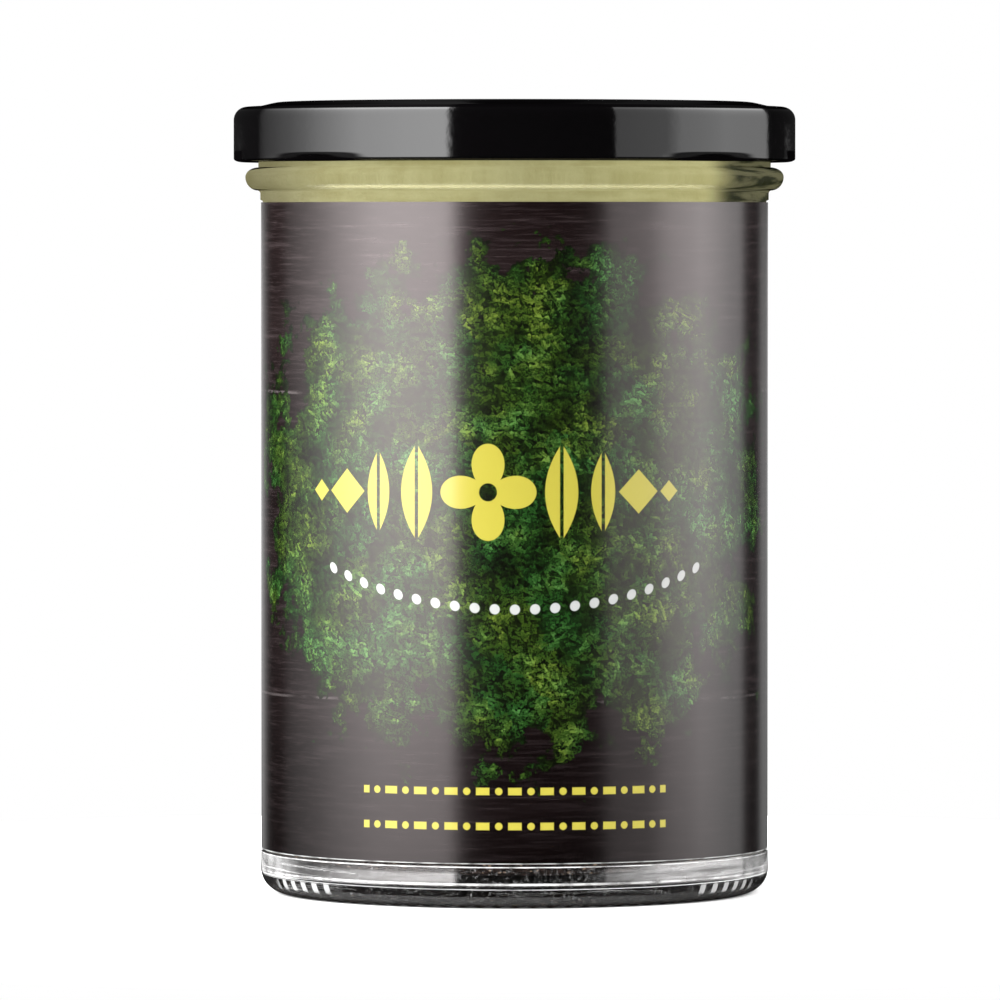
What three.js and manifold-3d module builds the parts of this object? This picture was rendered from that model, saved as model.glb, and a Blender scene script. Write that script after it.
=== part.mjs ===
// A growing kit in a straight preserving jar: clear glass, a wrap-round label, a black twist-off lid,
// and inside it growing medium, a mat sown with seeds and a loose mulch that shows in the neck.
// Millimetres, +Z up, the origin in the middle of the foot. The label's middle faces -Y.
import * as THREE from "three";
import { mergeVertices } from "three/addons/utils/BufferGeometryUtils.js";
import Module from "manifold-3d";

const wasm = await Module();
wasm.setup();

// ---- Driving dimensions ----
const FACETS = 60; // sides of every turned piece, a multiple of 4 so that the box is centred
const FINEST = 0.01; // edges shorter than this are closed up after the cuts and joins

// Glass
const BODY_R = 38.67;
const WALL = 2.27;
const HEEL = { r: 35.0, across: 3.67, up: 3.6 }; // the rounded foot of the wall, as a quarter ellipse
const FOOT_IN_R = 29.0; // inner edge of the flat ring that the jar stands on
const PUSH_UP = 2.0; // the underside's rise in the middle
const FLOOR_Z = 4.4; // inside floor
const FLOOR_CORNER = 3.4;
const FLOOR_RISE = 0.4; // the inside floor is domed by this much
const PANEL = { r: 38.35, low: 6.5, high: 105.4, step: 0.3 }; // the shallow recess that holds the label
const BEAD = { r: 40.95, z: 108.9, up: 1.45, down: 2.05 }; // the ring under the lid
const FINISH_R = 39.0;
const RIM = { z: 118.0, round: 0.85, mouth: 0.2, throat: 4.0 }; // the mouth is a little wider than the bore

// Thread: four helical ridges, which the four lugs of the lid slide under
const STARTS = 4;
const LEAD = 12.7; // rise for a full turn
const RIDGE = { stand: 2.0, height: 1.6, crest: 0.5, root: 0.6, low: 113.45 };
const RIDGE_RUN = { before: 10, after: 56, fade: 8, steps: 11, least: 0.075 }; // degrees from the lug
const LUG_AT = 45; // degrees, the first lug and the ridge above it

// Lid
const LID_R = 42.75;
const SHEET = 0.42;
const LID_FOOT_Z = 111.4;
const SHOULDER = { z: 119.57, corner: 2.0 };
const PLATEAU = { z: 120.3, r: 36.9 };
const STEP = [
  [39.6, 0.69],
  [38.4, 0.34],
  [37.7, 0.08],
]; // the sheet between shoulder and plateau: radius, and depth below the plateau
const HEM = { across: 1.35, up: 1.4, inner: 41.3, back: 1.1, top: 113.9 }; // the rolled lower edge
const LUG = { reach: 39.6, root: 41.9, low: 111.55, high: 113.1, half: 8.4, half_tip: 6.4 };
const DENT = { at: 44.0, z: 111.7, across: 2.45, wide: 6.2, up: 1.4 };

// Seal ring, bonded under the shoulder of the lid
const SEAL = { inner: 37.1, outer: 41.1, low: 118.08, high: 119.02, bevel: 0.3 };

// Label, one strip that laps over its own start at the back
const LABEL = { low: 6.7, high: 105.2, gap: 0.05, thick: 0.2, lap: 12, climb: 6 };

// Contents
const FILL_GAP = 0.2;
const MEDIUM_TOP = 103.2;
const MAT = { low: 103.4, thick: 0.55 };
const SEEDS = { count: 34, long: 1.5, across: 0.6, sink: 0.15, spread: 33.5 };
const MULCH = { low: 105.0, top: 114.2, wave: 0.35, edge: 0.7 };
const GOLDEN_ANGLE = 137.508;

// ---- Colours and finishes ----
const FINISHES = {
  glass: { color: 0xdfe9df, roughness: 0.05, metalness: 0, transparent: true, opacity: 0.35 },
  print: { color: 0x33262a, roughness: 0.3, metalness: 0 },
  lacquer: { color: 0x0b0b0c, roughness: 0.12, metalness: 0.2 },
  sealant: { color: 0xd9d6cc, roughness: 0.6, metalness: 0 },
  medium: { color: 0x2c1f18, roughness: 0.95, metalness: 0 },
  sown: { color: 0xb89b6c, roughness: 0.9, metalness: 0 },
  mulch: { color: 0xb4af76, roughness: 0.9, metalness: 0 },
};

// ---- Helpers ----
const radians = (degrees) => (degrees * Math.PI) / 180;

// Points along an ellipse's arc in a section, as [radius, height]; angles in degrees, 0 is outwards
function arc(r, z, across, up, from, to, steps) {
  return Array.from({ length: steps + 1 }, (_, i) => {
    const a = radians(from + ((to - from) * i) / steps);
    return [r + across * Math.cos(a), z + up * Math.sin(a)];
  });
}

// A closed three.js geometry as a solid, with its shared vertices merged and its slivers dropped
function solid(geometry) {
  const bare = geometry.clone();
  bare.deleteAttribute("normal");
  bare.deleteAttribute("uv");
  const merged = mergeVertices(bare, 1e-4);
  const corners = [];
  for (let i = 0; i < merged.index.count; i += 3) {
    const face = [0, 1, 2].map((k) => merged.index.getX(i + k));
    if (new Set(face).size === 3) corners.push(...face);
  }
  const vertProperties = Float32Array.from(merged.attributes.position.array);
  const triVerts = Uint32Array.from(corners);
  return new wasm.Manifold(new wasm.Mesh({ numProp: 3, vertProperties, triVerts }));
}

// A section turned round the Z axis. It starts and ends on the axis, or closes on itself.
function turned(section) {
  const points = section.map(([r, z]) => new THREE.Vector2(r, z));
  return new THREE.LatheGeometry(points, FACETS).rotateX(Math.PI / 2);
}

// Moves every vertex of a geometry by a function of its place
function warp(geometry, move) {
  const place = geometry.attributes.position;
  const v = new THREE.Vector3();
  for (let i = 0; i < place.count; i += 1) {
    move(v.fromBufferAttribute(place, i));
    place.setXYZ(i, v.x, v.y, v.z);
  }
  return geometry;
}

function piece(name, body, finish) {
  const { vertProperties, triVerts } = body.simplify(FINEST).getMesh();
  const geometry = new THREE.BufferGeometry();
  geometry.setAttribute("position", new THREE.BufferAttribute(vertProperties, 3));
  geometry.setIndex(new THREE.BufferAttribute(triVerts, 1));
  geometry.computeVertexNormals();
  const material = new THREE.MeshStandardMaterial({ ...FINISHES[finish], flatShading: true });
  const mesh = new THREE.Mesh(geometry, material);
  mesh.name = name;
  return mesh;
}

// The same cut or join at each of the four lugs
function atLugs(make) {
  return Array.from({ length: STARTS }, (_, i) => make().rotate([0, 0, LUG_AT + (360 / STARTS) * i]));
}

// ---- Jar ----
function jarSection() {
  const inner = BODY_R - WALL;
  return [
    ...[0, 15, 24, 27.8, FOOT_IN_R].map((r) => [r, PUSH_UP * (1 - (r / FOOT_IN_R) ** 2.6)]),
    ...arc(HEEL.r, HEEL.up, HEEL.across, HEEL.up, -90, 0, 6),
    [BODY_R, PANEL.low - PANEL.step],
    [PANEL.r, PANEL.low],
    [PANEL.r, PANEL.high],
    [BODY_R, PANEL.high + PANEL.step],
    [BODY_R, BEAD.z - BEAD.down - PANEL.step],
    ...arc(FINISH_R, BEAD.z, BEAD.r - FINISH_R, BEAD.down, -90, 0, 4),
    ...arc(FINISH_R, BEAD.z, BEAD.r - FINISH_R, BEAD.up, 0, 90, 4).slice(1),
    [FINISH_R, RIM.z - RIM.round],
    ...arc(FINISH_R - RIM.round, RIM.z - RIM.round, RIM.round, RIM.round, 45, 90, 1),
    ...arc(inner + RIM.mouth + RIM.round, RIM.z - RIM.round, RIM.round, RIM.round, 90, 180, 2),
    [inner, RIM.z - RIM.throat],
    ...arc(inner - FLOOR_CORNER, FLOOR_Z + FLOOR_CORNER, FLOOR_CORNER, FLOOR_CORNER, 0, -90, 4),
    [0, FLOOR_Z + FLOOR_RISE],
  ];
}

// A ridge is a straight extrusion bent round the neck, rising by the lead and fading into the glass
function ridge() {
  const outline = new THREE.Shape([
    new THREE.Vector2(-RIDGE.root, 0),
    new THREE.Vector2(RIDGE.stand, (RIDGE.height - RIDGE.crest) / 2),
    new THREE.Vector2(RIDGE.stand, (RIDGE.height + RIDGE.crest) / 2),
    new THREE.Vector2(-RIDGE.root, RIDGE.height),
  ]);
  const { before, after, fade, steps, least } = RIDGE_RUN;
  const span = before + after;
  const straight = new THREE.ExtrudeGeometry(outline, { depth: span, steps, bevelEnabled: false });
  return solid(
    warp(straight, (v) => {
      const along = after - v.z;
      const end = Math.max(least, Math.min(1, v.z / fade, (span - v.z) / fade));
      const r = FINISH_R - RIDGE.root + (v.x + RIDGE.root) * end;
      const a = radians(along);
      v.set(r * Math.cos(a), r * Math.sin(a), RIDGE.low + v.y + (LEAD * along) / 360);
    }),
  );
}

function jar() {
  return atLugs(ridge).reduce((glass, thread) => glass.add(thread), solid(turned(jarSection())));
}

// ---- Label ----
// The strip starts and ends at the back. Its last degrees climb over its start.
function label() {
  const step = 360 / FACETS;
  const start = 90 - LABEL.lap / 2;
  const count = Math.round((360 + LABEL.lap) / step);
  const over = LABEL.thick + LABEL.gap;
  const edge = (offset) =>
    Array.from({ length: count + 1 }, (_, i) => {
      const turn = i * step;
      const lift = Math.min(1, Math.max(0, (turn - 360 + LABEL.climb) / LABEL.climb));
      const r = PANEL.r + LABEL.gap + offset + over * lift;
      const a = radians(start + turn);
      return new THREE.Vector2(r * Math.cos(a), r * Math.sin(a));
    });
  const outline = new THREE.Shape([...edge(LABEL.thick), ...edge(0).reverse()]);
  const strip = new THREE.ExtrudeGeometry(outline, { depth: LABEL.high - LABEL.low, bevelEnabled: false });
  return solid(strip.translate(0, 0, LABEL.low));
}

// ---- Lid ----
function lidSection() {
  const { corner } = SHOULDER;
  const turn = SHOULDER.z - corner;
  const wall = LID_R - SHEET;
  const step = (depth) => STEP.map(([r, below]) => [r, PLATEAU.z - below - depth]);
  return [
    [HEM.inner, LID_FOOT_Z + HEM.back],
    ...arc(LID_R - HEM.across, LID_FOOT_Z + HEM.up, HEM.across, HEM.up, -90, 0, 5),
    ...arc(LID_R - corner, turn, corner, corner, 0, 90, 5),
    ...step(0),
    [PLATEAU.r, PLATEAU.z],
    [0, PLATEAU.z],
    [0, PLATEAU.z - SHEET],
    [PLATEAU.r, PLATEAU.z - SHEET],
    ...step(SHEET).reverse(),
    ...arc(LID_R - corner, turn, corner - SHEET, corner - SHEET, 90, 0, 3),
    [wall, HEM.top],
    [HEM.inner, LID_FOOT_Z + HEM.back],
  ];
}

// A lug is the hem pressed inwards: a short tapered block behind a dent in the outside
function lug() {
  const tip = radians(LUG.half_tip);
  const root = radians(LUG.half);
  const on = (r, a) => new THREE.Vector2(r * Math.cos(a), r * Math.sin(a));
  const rim = [-1, -0.33, 0.33, 1].map((k) => on(LUG.root, root * k));
  const nose = [1, 0.33, -0.33, -1].map((k) => on(LUG.reach, tip * k));
  const block = new THREE.ExtrudeGeometry(new THREE.Shape([...rim, ...nose]), {
    depth: LUG.high - LUG.low,
    bevelEnabled: false,
  });
  return solid(block.translate(0, 0, LUG.low));
}

function dent() {
  const ball = new THREE.SphereGeometry(1, 14, 8).scale(DENT.across, DENT.wide, DENT.up);
  return solid(ball.translate(DENT.at, 0, DENT.z));
}

function lid() {
  const shell = atLugs(lug).reduce((cap, nose) => cap.add(nose), solid(turned(lidSection())));
  return atLugs(dent).reduce((cap, scoop) => cap.subtract(scoop), shell);
}

function sealRing() {
  const { inner, outer, low, high, bevel } = SEAL;
  return solid(
    turned([
      [inner, high],
      [inner, low + bevel],
      [inner + bevel, low],
      [outer - bevel, low],
      [outer, low + bevel],
      [outer, high],
      [inner, high],
    ]),
  );
}

// ---- Contents ----
const FILL_R = BODY_R - WALL - FILL_GAP;
const SOFT = 0.5; // the medium's upper edge is crumbled away by this much

function growingMedium() {
  const corner = FLOOR_CORNER;
  const floor = FLOOR_Z + FLOOR_RISE + FILL_GAP;
  return solid(
    turned([
      [0, floor],
      ...arc(FILL_R - corner, floor + corner, corner, corner, -90, 0, 4),
      [FILL_R, MEDIUM_TOP - SOFT],
      [FILL_R - SOFT, MEDIUM_TOP],
      [0, MEDIUM_TOP],
    ]),
  );
}

// A thin pressed mat with the seeds half sunk in it, placed by a golden-angle spiral
function seedMat() {
  const top = MAT.low + MAT.thick;
  const mat = solid(
    turned([
      [0, MAT.low],
      [FILL_R, MAT.low],
      [FILL_R, top],
      [0, top],
    ]),
  );
  const golden = radians(GOLDEN_ANGLE);
  const seeds = Array.from({ length: SEEDS.count }, (_, i) => {
    const r = SEEDS.spread * Math.sqrt((i + 0.5) / SEEDS.count);
    const grain = new THREE.IcosahedronGeometry(1, 0).scale(SEEDS.long, SEEDS.across, SEEDS.across);
    grain.rotateZ(i * 2.1);
    grain.translate(r * Math.cos(i * golden), r * Math.sin(i * golden), top + SEEDS.across / 2 - SEEDS.sink);
    return solid(grain);
  });
  return seeds.reduce((sown, grain) => sown.add(grain), mat);
}

// The mulch is a loose layer: its top rises and falls in soft waves
function mulch() {
  const rings = [12, 20, 28, 33];
  const section = [
    [0, MULCH.low],
    [FILL_R, MULCH.low],
    [FILL_R, MULCH.top - MULCH.edge],
    ...rings.reverse().map((r) => [r, MULCH.top]),
    [0, MULCH.top],
  ];
  const layer = warp(turned(section), (v) => {
    if (v.z < MULCH.top - 0.01) return;
    const r = Math.hypot(v.x, v.y);
    const wave = Math.sin(v.x * 0.31 + 0.7) * Math.cos(v.y * 0.27) + 0.5 * Math.sin((v.x + v.y) * 0.52);
    v.z += MULCH.wave * wave * Math.min(1, r / 6);
  });
  return solid(layer);
}

// ---- The object ----
const group = new THREE.Group();
group.add(
  piece("jar", jar(), "glass"),
  piece("label", label(), "print"),
  piece("lid", lid(), "lacquer"),
  piece("seal_ring", sealRing(), "sealant"),
  piece("growing_medium", growingMedium(), "medium"),
  piece("seed_mat", seedMat(), "sown"),
  piece("mulch", mulch(), "mulch"),
);

export default group;
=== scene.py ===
# %% [markdown]
# # A glass growing jar with a twist-off lid
#
# A kitchen growing kit comes in a straight preserving jar. The jar is pressed from clear glass, a printed label is
# wrapped round it, and a black lid twists off its mouth. Inside are growing medium, a mat of seeds, and the pale
# mulch that shows in the neck. The solids of all these pieces are made to size elsewhere and loaded here as a fixed
# frame. Each piece made below stands where its solid stands, and gets the surface and finish of the real one.

# %% The frame
import math
import random

import bmesh
import bpy
from mathutils import Matrix, Vector, noise


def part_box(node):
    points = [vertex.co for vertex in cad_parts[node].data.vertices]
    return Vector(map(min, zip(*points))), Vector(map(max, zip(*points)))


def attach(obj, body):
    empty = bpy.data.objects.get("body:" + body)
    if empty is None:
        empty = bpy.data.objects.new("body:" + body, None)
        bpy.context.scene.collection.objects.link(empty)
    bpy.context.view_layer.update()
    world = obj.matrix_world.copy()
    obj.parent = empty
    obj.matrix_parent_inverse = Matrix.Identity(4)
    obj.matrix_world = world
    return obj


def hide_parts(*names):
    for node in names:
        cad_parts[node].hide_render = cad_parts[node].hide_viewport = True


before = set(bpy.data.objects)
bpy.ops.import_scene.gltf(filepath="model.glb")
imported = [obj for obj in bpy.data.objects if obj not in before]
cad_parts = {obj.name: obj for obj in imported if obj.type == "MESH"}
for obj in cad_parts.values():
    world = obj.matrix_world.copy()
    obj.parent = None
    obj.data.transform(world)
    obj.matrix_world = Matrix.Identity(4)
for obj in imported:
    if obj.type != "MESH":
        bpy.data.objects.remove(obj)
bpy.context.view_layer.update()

# %% [markdown]
# ## Sizes
#
# A glassworks drawing gives a jar as a section: radii and heights from the foot. The same is done here, in
# millimetres. The outer sizes are read off the solids in the frame, so the two can't drift apart, and the rest
# are the few sizes that the section needs. The rolled hem of the lid hangs a little below the solid's plain edge,
# and its side keeps a hair inside the solid's, because the last digit of a turned point can round up.

# %% Sizes in millimetres
MM = 0.001
HEM_HANGS = 0.25
HAIR = 0.001


def span(node):
    """The lowest and highest corner of a solid in the frame, in millimetres."""
    low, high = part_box(node)
    return low / MM, high / MM


LID_FOOT = span("lid")[0].z - HEM_HANGS
LID_TOP = span("lid")[1].z
LID_R = span("lid")[1].x - HAIR
RIM = span("jar")[1].z
LABEL_LOW, LABEL_HIGH = span("label")[0].z, span("label")[1].z
MEDIUM_HIGH = span("growing_medium")[1].z
MULCH_LOW = span("mulch")[0].z
FILL_R = span("growing_medium")[1].x

BODY_R = 38.67
PANEL_R = 38.35  # the shallow recess that holds the label
BORE_R = 36.4
FINISH_R = 39.0  # the neck that carries the thread
print(f"lid {2 * LID_R:.1f} across, jar {2 * BODY_R:.1f} across and {LID_TOP:.1f} high")
print(f"label from {LABEL_LOW:.1f} to {LABEL_HIGH:.1f}")

# %% [markdown]
# ## Camera
#
# The jar was photographed with a long lens that stood a little lower than the label's upper edge and looked down by
# less than two degrees. A long lens keeps the glass wall upright. The camera could be aimed with a constraint, but
# a plain turn keeps the angle a number that can be read. The plain view transform keeps the whites white.

# %% Camera
VIEW = {"tilt": 1.75, "away": 1371.7, "height": 101.6, "aside": -2.21, "lens": 324, "film": 36}

lens = bpy.data.cameras.new("camera")
lens.sensor_width = VIEW["film"]
lens.lens = VIEW["lens"]
camera = bpy.data.objects.new("camera", lens)
camera.location = Vector((VIEW["aside"], -VIEW["away"], VIEW["height"])) * MM
camera.rotation_euler = (math.radians(90 - VIEW["tilt"]), 0, 0)
bpy.context.collection.objects.link(camera)
bpy.context.scene.camera = camera
bpy.context.scene.view_settings.view_transform = "Standard"
print("camera:", [round(c, 4) for c in camera.location])

# %% [markdown]
# ## Patterns as sums
#
# A pattern that varies over a surface is a chain of Math nodes. Chains of dozens are slow to place by hand, so a
# small class stands for one such value: adding or multiplying two of them in Python adds the node that does it.


# %% Field, a value that varies over a surface
def feed(place, value):
    """Links a field to a node's input, or sets a plain number or colour there."""
    if isinstance(value, Field):
        place.id_data.links.new(value.socket, place)
    else:
        place.default_value = value


class Field:
    """A value that varies over a surface, held as the output of a node."""

    def __init__(self, socket):
        self.socket = socket
        self.tree = socket.id_data

    def node(self, kind, *values, **settings):
        made = self.tree.nodes.new(kind)
        for name, setting in settings.items():
            setattr(made, name, setting)
        for place, value in zip(made.inputs, values):
            feed(place, value)
        return made

    def maths(self, operation, *others):
        return Field(self.node("ShaderNodeMath", self, *others, operation=operation).outputs[0])

    def __add__(self, other):
        return self.maths("ADD", other)

    def __radd__(self, other):
        return self.maths("ADD", other)

    def __mul__(self, other):
        return self.maths("MULTIPLY", other)

    def __rmul__(self, other):
        return self.maths("MULTIPLY", other)

    def __truediv__(self, other):
        return self.maths("DIVIDE", other)

    def __sub__(self, other):
        return self.maths("SUBTRACT", other)

    def __rsub__(self, other):
        return self.maths("MULTIPLY_ADD", -1, other)

    def __abs__(self):
        return self.maths("ABSOLUTE")

    def sine(self):
        return self.maths("SINE")

    def cosine(self):
        return self.maths("COSINE")

    def least(self, other):
        return self.maths("MINIMUM", other)

    def most(self, other):
        return self.maths("MAXIMUM", other)

    def angle(self, across):
        """The direction of (across, self), in radians."""
        return self.maths("ARCTAN2", across)

    def long(self, across):
        """The length of (across, self)."""
        return (self * self + across * across).maths("SQRT")

    def below(self, limit):
        return self.maths("LESS_THAN", limit)

    def ease(self, low, high):
        """0 up to low, 1 from high on, and a smooth rise between them."""
        made = self.node("ShaderNodeMapRange", self, low, high, interpolation_type="SMOOTHSTEP")
        return Field(made.outputs[0])

    def window(self, start, full, last, end):
        """0 up to start, 1 from full to last, 0 from end on, and smooth slopes between them."""
        return self.ease(start, full) * (1 - self.ease(last, end))

    def along(self, points):
        """Read off a line through (place, value) points, up to 32 of them."""
        (first, _), (last, _) = points[0], points[-1]
        peak = max(value for _, value in points)
        made = self.node("ShaderNodeValToRGB", (self - first) / (last - first))
        stops = made.color_ramp.elements
        for place, _ in points[1:-1]:
            stops.new((place - first) / (last - first))
        for stop, (_, value) in zip(stops, points):
            stop.color = (value / peak, value / peak, value / peak, 1)
        return Field(made.outputs[0]) * peak

    def parts(self):
        """The X, Y and Z of a vector, or the red, green and blue of a colour."""
        return [Field(part) for part in self.node("ShaderNodeSeparateXYZ", self).outputs]

    def vector(self, y, z=0.0):
        return Field(self.node("ShaderNodeCombineXYZ", self, y, z).outputs[0])

    def scaled(self, factor):
        made = self.node("ShaderNodeVectorMath", self, operation="SCALE")
        feed(made.inputs["Scale"], factor)
        return Field(made.outputs[0])

    def noise(self, scale, detail=2.0, roughness=0.5):
        """Soft noise from 0 to 1 at a place. The scale is in waves for each unit of the place."""
        made = self.node("ShaderNodeTexNoise")
        for name, value in (("Vector", self), ("Scale", scale), ("Detail", detail), ("Roughness", roughness)):
            feed(made.inputs[name], value)
        return Field(made.outputs[0])

    def cells(self, loose=0.85, flat=True):
        """The nearest of the points scattered one to a unit cell: its place, distance and random colour."""
        made = self.node("ShaderNodeTexVoronoi", voronoi_dimensions="2D" if flat else "3D")
        for name, value in (("Vector", self), ("Scale", 1.0), ("Randomness", loose)):
            feed(made.inputs[name], value)
        return [Field(made.outputs[name]) for name in ("Position", "Distance", "Color")]

    def blend(self, under, over):
        """The colour under where this is 0, over where it is 1."""
        made = self.node("ShaderNodeMix", data_type="RGBA")
        for place, value in ((0, self), (6, under), (7, over)):
            feed(made.inputs[place], value)
        return Field(made.outputs[2])

    def mix(self, under, over):
        """The shader under where this is 0, over where it is 1."""
        return self.node("ShaderNodeMixShader", self, Field(under.outputs[0]), Field(over.outputs[0]))


print("a field knows", [name for name in vars(Field) if not name.startswith("_")])

# %% [markdown]
# ## Studio
#
# Gloss is only seen by what it mirrors. The photographer had a strong light panel at the left, a weaker one at the
# right, dark between them behind the camera, and a white backdrop. Area lights could stand there, but a sky drawn
# as upright bands does the same with clean edges and no light stands. A panel is placed by the surface that mirrors
# it to the camera: that surface faces halfway between the panel and the camera. So each band is a range of
# directions twice as far round as such a surface faces, and the panels' ends go by how far it leans up or down.
#
# The backdrop is bright behind the jar, where the outer edges of glass, varnish and lacquer mirror it, and only as
# low as a surface that leans down a little reaches. A table hides the low ends of the panels, so they are dimmed in
# directions that point down, which gloss mirrors to an eye above the jar. The camera itself sees plain white.

# %% Studio light
BANDS = [  # degrees to the camera's right, and the brightness there
    (-180, 0.02), (-130, 0.02), (-126, 0.25), (-115, 0.64), (-105, 1.15), (-96, 1.95), (-80, 4.3), (-66, 6.5),
    (-46, 7.7), (-28, 8.2), (-26, 0.02), (41, 0.02), (42, 1.35), (65, 1.6), (72, 3.0), (96, 3.1), (113, 2.1),
    (126, 1.4), (128, 0.02), (180, 0.02),
]
LEAN = [  # degrees that the mirroring surface leans up, and the panels' share of brightness
    (-90, 0.02), (-42, 0.02), (-36, 1.0), (32, 1.0), (38, 1.2), (42, 1.5), (45, 1.3), (48, 0.01), (90, 0.004),
]
BACKDROP = [  # degrees to the camera's right, and the brightness there
    (-180, 1.0), (-172, 1.0), (-165, 0.62), (-158, 0.38), (-151, 0.06), (-146, 0.0), (146, 0.0), (150, 0.45),
    (156, 0.5), (160, 0.3), (168, 0.4), (172, 1.0), (180, 1.0),
]
BACKDROP_LEAN = (-26, -12, 0.3, 1.2)
TABLE = {"up": (-0.45, -0.1), "share": 0.07}

studio = bpy.data.worlds.new("studio")
studio.use_nodes = True
bpy.context.scene.world = studio
sky = studio.node_tree.nodes["Background"]
toward = Field(studio.node_tree.nodes.new("ShaderNodeTexCoord").outputs["Generated"])
east, north, up = toward.parts()
to_camera = 1 - north
compass = east.angle(to_camera).maths("DEGREES") * 2
lean = up.angle(east.long(to_camera)).maths("DEGREES")
over_table = TABLE["share"] + (1 - TABLE["share"]) * up.ease(*TABLE["up"])
low_backdrop = compass.along(BACKDROP) * lean.window(*BACKDROP_LEAN)
sky.inputs["Color"].default_value = (1, 1, 1, 1)
feed(sky.inputs["Strength"], compass.along(BANDS) * lean.along(LEAN) * over_table + low_backdrop)

backdrop = studio.node_tree.nodes.new("ShaderNodeBackground")
backdrop.inputs["Color"].default_value = (1, 1, 1, 1)
rays = studio.node_tree.nodes.new("ShaderNodeLightPath")
choice = Field(rays.outputs["Is Camera Ray"]).mix(sky, backdrop)
feed(studio.node_tree.nodes["World Output"].inputs[0], Field(choice.outputs[0]))
print("light bands:", len(BANDS), "brightest", max(value for _, value in BANDS))


# %% [markdown]
# ## Materials
#
# Every finish here starts from the Principled shader. What is the same all over a piece, such as how clear or how
# glossy it is, is set on the shader itself. Only what varies comes from nodes, and it reads the piece's own place
# in millimetres.


# %% Finish, one material
class Finish:
    """A material with its Principled shader. Places on the piece are in millimetres."""

    def __init__(self, name, **settings):
        self.material = bpy.data.materials.new(name)
        self.material.use_nodes = True
        self.nodes = self.material.node_tree.nodes
        self.surface = self.nodes["Principled BSDF"]
        for words, value in settings.items():
            self.set(words.replace("_", " "), value)

    def set(self, words, value):
        feed(self.surface.inputs[words], value)

    def place(self):
        return Field(self.nodes.new("ShaderNodeTexCoord").outputs["Object"]).scaled(1 / MM)

    def relief(self, height, depth):
        """Fine relief: height runs from 0 to 1, and depth is its size in millimetres."""
        made = height.node("ShaderNodeBump")
        feed(made.inputs["Height"], height)
        made.inputs["Distance"].default_value = depth * MM
        self.set("Normal", Field(made.outputs[0]))


def tint(red, green, blue):
    return (red, green, blue, 1.0)


paper = Finish("paper_edge", Base_Color=tint(0.5, 0.48, 0.45), Roughness=0.8)
sealant = Finish("seal_compound", Base_Color=tint(0.62, 0.6, 0.54), Roughness=0.5)
sealant.relief(sealant.place().noise(0.8), 0.03)
inside = Finish("inner_lacquer", Base_Color=tint(0.62, 0.6, 0.55), Roughness=0.3)
inside.relief(inside.place().noise(0.5), 0.01)
print("finishes so far:", [m.name for m in bpy.data.materials])

# %% [markdown]
# ## Turning a section
#
# Almost every piece here is round, so each one is a section spun round the Z axis, as on a lathe. A section is a
# short list of (radius, height) points, with its round stretches worked out as arcs. After the spin, doubled points
# on the axis are merged, and only then are the faces turned to point outwards.

# %% Helpers for turned pieces
WELD = 0.0005


def arc(r, z, across, up_, start, end, steps):
    """Points along an ellipse's arc. Degrees: 0 is outwards, 90 is up."""
    turns = [math.radians(start + (end - start) * i / steps) for i in range(steps + 1)]
    return [(r + across * math.cos(t), z + up_ * math.sin(t)) for t in turns]


def line(start, end, steps):
    """Points from start to end, both with them, evenly spaced."""
    (r0, z0), (r1, z1) = start, end
    return [(r0 + (r1 - r0) * i / steps, z0 + (z1 - z0) * i / steps) for i in range(steps + 1)]


def turned(section, sides):
    """A section spun a full turn round the Z axis. It starts and ends on the axis, or where it began."""
    bm = bmesh.new()
    points = [bm.verts.new((r, 0, z)) for r, z in section]
    edges = [bm.edges.new(pair) for pair in zip(points, points[1:])]
    bmesh.ops.spin(
        bm, geom=points + edges, cent=(0, 0, 0), axis=(0, 0, 1), angle=math.tau, steps=sides, use_merge=True
    )
    bmesh.ops.remove_doubles(bm, verts=bm.verts, dist=WELD)
    bmesh.ops.recalc_face_normals(bm, faces=bm.faces)
    return bm


def smooth(value, low, high):
    """0 up to low, 1 from high on, and a smooth rise between them."""
    t = min(1.0, max(0.0, (value - low) / (high - low)))
    return t * t * (3 - 2 * t)


def polar(v):
    """A vertex's radius and its direction in degrees, from +X round to +Y."""
    return math.hypot(v.co.x, v.co.y), math.degrees(math.atan2(v.co.y, v.co.x))


def set_radius(v, r):
    """Moves a vertex straight out or in to a new radius."""
    factor = r / math.hypot(v.co.x, v.co.y)
    v.co.x *= factor
    v.co.y *= factor


def piece(bm, name, finishes, body, node, crease=45):
    """Makes the object, in metres, tells the frame what it rides on, and hides the solid it stands for."""
    bmesh.ops.scale(bm, vec=(MM, MM, MM), verts=bm.verts)
    mesh = bpy.data.meshes.new(name)
    bm.to_mesh(mesh)
    bm.free()
    mesh.shade_smooth()
    mesh.set_sharp_from_angle(angle=math.radians(crease))
    for finish in finishes:
        mesh.materials.append(finish.material)
    made = bpy.data.objects.new(name, mesh)
    bpy.context.collection.objects.link(made)
    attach(made, body)
    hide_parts(node)
    print(f"{name}: {len(mesh.vertices)} points, {len(mesh.polygons)} faces")


# %% [markdown]
# ## Floor
#
# The jar stands on a pale light table, a plain disc that glows a little, so that hardly a shadow falls on it.
# Gloss doesn't mirror it: a real table would be masked where it shows in the lacquer and the varnish. Right under
# the jar no light gets in, so the glow stops there, and the card's colour is painted dark there, a painted shadow.

# %% Floor
FLOOR = {"radius": 180, "below": 0.02, "glow": 0.6, "shade": (35.0, 37.8)}

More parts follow.
